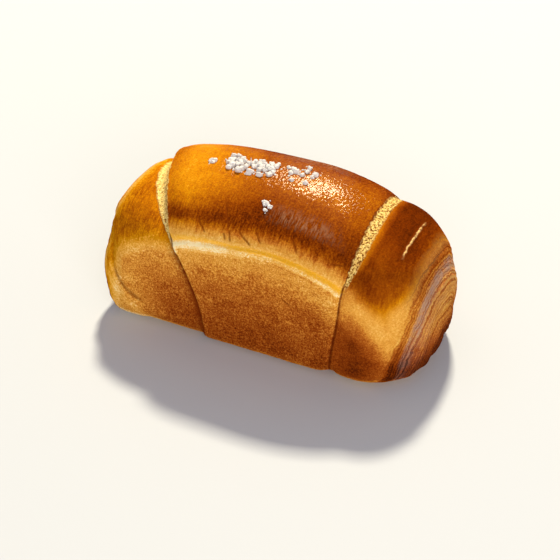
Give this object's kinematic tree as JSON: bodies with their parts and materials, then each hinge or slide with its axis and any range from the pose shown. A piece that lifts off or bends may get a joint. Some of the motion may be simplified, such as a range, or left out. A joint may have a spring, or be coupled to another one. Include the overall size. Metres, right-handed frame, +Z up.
{
  "type": "salt bread loaf",
  "caption": "Tin-baked salt bread loaf: a rolled dough with a proud middle wrap, torn pale creases, glossy brown crown, matte walls and coarse white salt on top.",
  "frame": {"origin": "middle of the loaf's flat base, on the surface it rests on", "axes": "+X along the loaf towards the end with the visible layers, -Y towards the front wall, +Z up"},
  "size_m": [0.1722, 0.0802, 0.0835],
  "materials": {
    "crust": "satin",
    "salt": "matte"
  },
  "bodies": {
    "root": {"loaf": "crust"}
  },
  "joints": []
}
